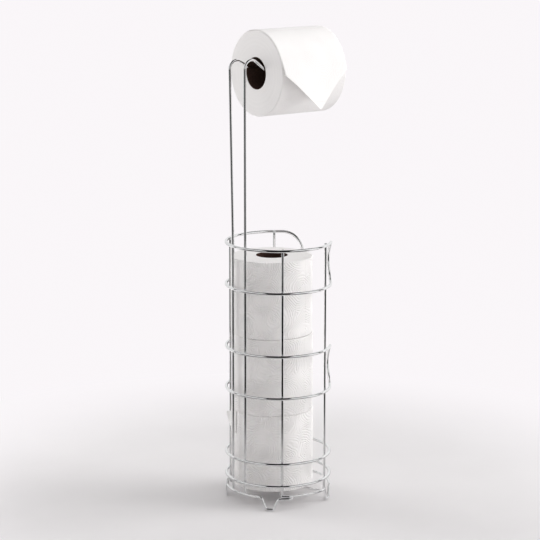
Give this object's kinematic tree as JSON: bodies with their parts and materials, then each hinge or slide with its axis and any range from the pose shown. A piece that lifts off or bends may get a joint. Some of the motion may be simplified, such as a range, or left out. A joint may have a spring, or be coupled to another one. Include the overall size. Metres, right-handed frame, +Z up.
{
  "type": "toilet roll storage holder",
  "caption": "Free-standing chrome wire basket that stores toilet rolls in a stack, with a tall hairpin arm beside it that carries the roll in use.",
  "frame": {"origin": "on the floor at the basket's axis, which is the middle of the bounding box's bottom", "axes": "+Z up, the arm's legs on the -Y side, the roll in use hangs along Y, +X to the right of someone who stands at the arm and looks at the basket"},
  "size_m": [0.145, 0.145, 0.6418],
  "materials": {
    "chrome": "bright chrome plate on steel wire",
    "paper": "soft white tissue, lightly embossed",
    "card": "plain brown cardboard"
  },
  "bodies": {
    "stand": {"arm_wire": "chrome", "upper_loop": "chrome", "middle_loop": "chrome", "high_hoop": "chrome", "low_hoop": "chrome", "base_wire": "chrome", "rib_left_front": "chrome", "rib_right_front": "chrome"},
    "hung_roll": {"hung_roll_paper": "paper", "hung_roll_core": "card", "hung_roll_sheet": "paper"},
    "low_roll": {"low_roll_paper": "paper", "low_roll_core": "card", "low_roll_flap": "paper"},
    "mid_roll": {"mid_roll_paper": "paper", "mid_roll_core": "card"},
    "top_roll": {"top_roll_paper": "paper", "top_roll_core": "card"}
  },
  "joints": [
    {"name": "hung_roll_turn", "type": "hinge", "parent": "stand", "child": "hung_roll", "pos_m": [0, 0.01524, 0.58484], "axis": [0, 1, 0], "continuous": true},
    {"name": "low_roll_lift", "type": "slide", "parent": "stand", "child": "low_roll", "axis": [0, 0, 1], "range_m": [0, 0.012]},
    {"name": "mid_roll_lift", "type": "slide", "parent": "low_roll", "child": "mid_roll", "axis": [0, 0, 1], "range_m": [0, 0.012]},
    {"name": "top_roll_lift", "type": "slide", "parent": "mid_roll", "child": "top_roll", "axis": [0, 0, 1], "range_m": [0, 0.13]}
  ]
}
